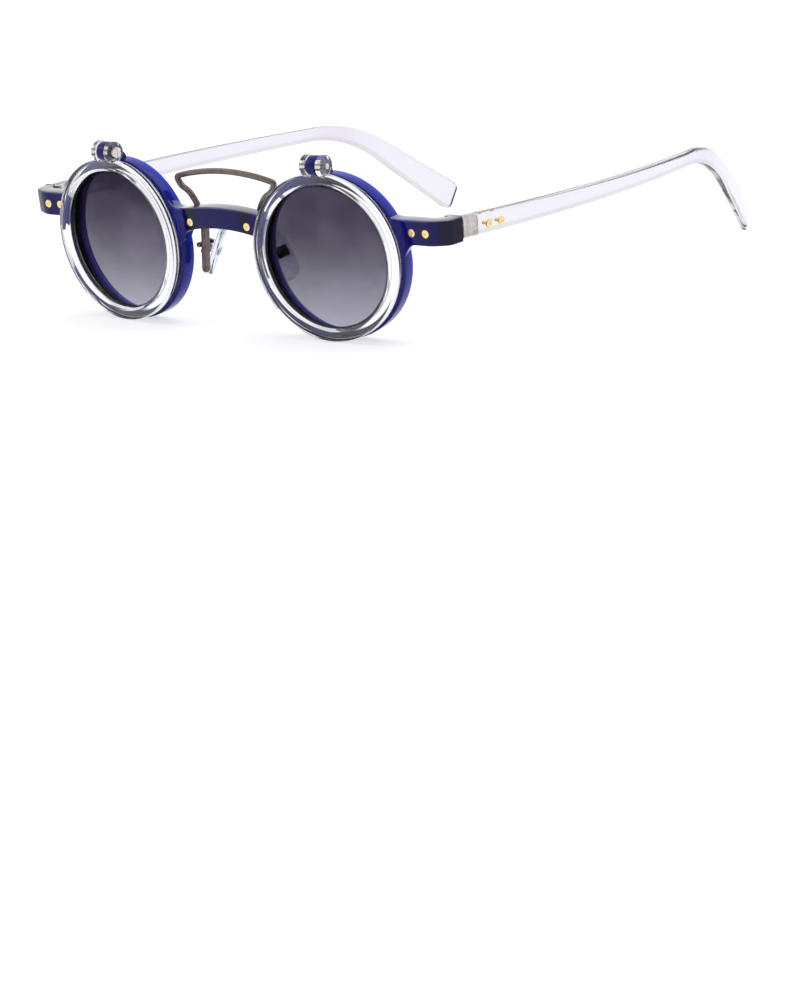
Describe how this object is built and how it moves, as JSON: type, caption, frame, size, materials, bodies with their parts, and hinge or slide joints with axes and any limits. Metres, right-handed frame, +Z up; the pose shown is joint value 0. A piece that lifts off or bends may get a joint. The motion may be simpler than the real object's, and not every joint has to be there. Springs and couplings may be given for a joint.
{
  "type": "sunglasses",
  "caption": "Round flip-up sunglasses: tinted lenses in clear rings hinge up from a blue front with a metal upper bridge and nose pads, clear folding temples.",
  "frame": {"origin": "middle of the open glasses, on the surface they stand on with rims and temple tips", "axes": "+Z up, the front faces -Y, the temples run to +Y, +X is the wearer's left"},
  "size_m": [0.1308, 0.1507, 0.0423],
  "materials": {
    "blue_acetate": "polished translucent cobalt blue acetate, near black where it is thick",
    "clear_acetate": "polished clear acetate",
    "clear_temple": "polished clear acetate with a faint lavender cast",
    "clear_pad": "clear soft plastic",
    "clear_lens": "clear lens",
    "tinted_lens": "grey violet lens, darker at the top and paler at the bottom",
    "gunmetal": "polished brown gunmetal plating",
    "steel": "plain hinge metal",
    "gold": "polished pale gold rivet heads"
  },
  "bodies": {
    "front": {"front_frame": "blue_acetate", "base_lens_left": "clear_lens", "base_lens_right": "clear_lens", "metal_bridge": "gunmetal", "pad_arm_left": "gunmetal", "pad_arm_right": "gunmetal", "pad_pin_left": "steel", "pad_pin_right": "steel", "bridge_rivets": "gold", "end_piece_rivets": "gold", "front_hinge_left": "steel", "front_hinge_right": "steel", "hinge_screw_left": "steel", "hinge_screw_right": "steel"},
    "flip_left": {"flip_ring_left": "clear_acetate", "flip_lens_left": "tinted_lens", "flip_screw_left": "steel"},
    "flip_right": {"flip_ring_right": "clear_acetate", "flip_lens_right": "tinted_lens", "flip_screw_right": "steel"},
    "temple_left": {"temple_left": "clear_temple", "temple_hinge_left": "steel", "temple_rivets_left": "gold"},
    "temple_right": {"temple_right": "clear_temple", "temple_hinge_right": "steel", "temple_rivets_right": "gold"},
    "pad_left": {"nose_pad_left": "clear_pad"},
    "pad_right": {"nose_pad_right": "clear_pad"}
  },
  "joints": [
    {"name": "flip_left", "type": "hinge", "parent": "front", "child": "flip_left", "pos_m": [0.03119, -0.07277, 0.03987], "axis": [-0.9962, -0.0868, -0.0076], "range_deg": [0, 90]},
    {"name": "flip_right", "type": "hinge", "parent": "front", "child": "flip_right", "pos_m": [-0.03119, -0.07277, 0.03987], "axis": [-0.9962, 0.0868, 0.0076], "range_deg": [0, 90]},
    {"name": "temple_left", "type": "hinge", "parent": "front", "child": "temple_left", "pos_m": [0.0585, -0.06148, 0.02615], "axis": [0, 0, 1], "range_deg": [0, 86]},
    {"name": "temple_right", "type": "hinge", "parent": "front", "child": "temple_right", "pos_m": [-0.0585, -0.06148, 0.02615], "axis": [0, 0, -1], "range_deg": [0, 60]},
    {"name": "pad_left", "type": "hinge", "parent": "front", "child": "pad_left", "pos_m": [0.01075, -0.06279, 0.01733], "axis": [0.3871, 0.8774, 0.2834], "range_deg": [-6, 6]},
    {"name": "pad_right", "type": "hinge", "parent": "front", "child": "pad_right", "pos_m": [-0.01075, -0.06279, 0.01733], "axis": [0.3871, -0.8774, -0.2834], "range_deg": [-6, 6]}
  ]
}
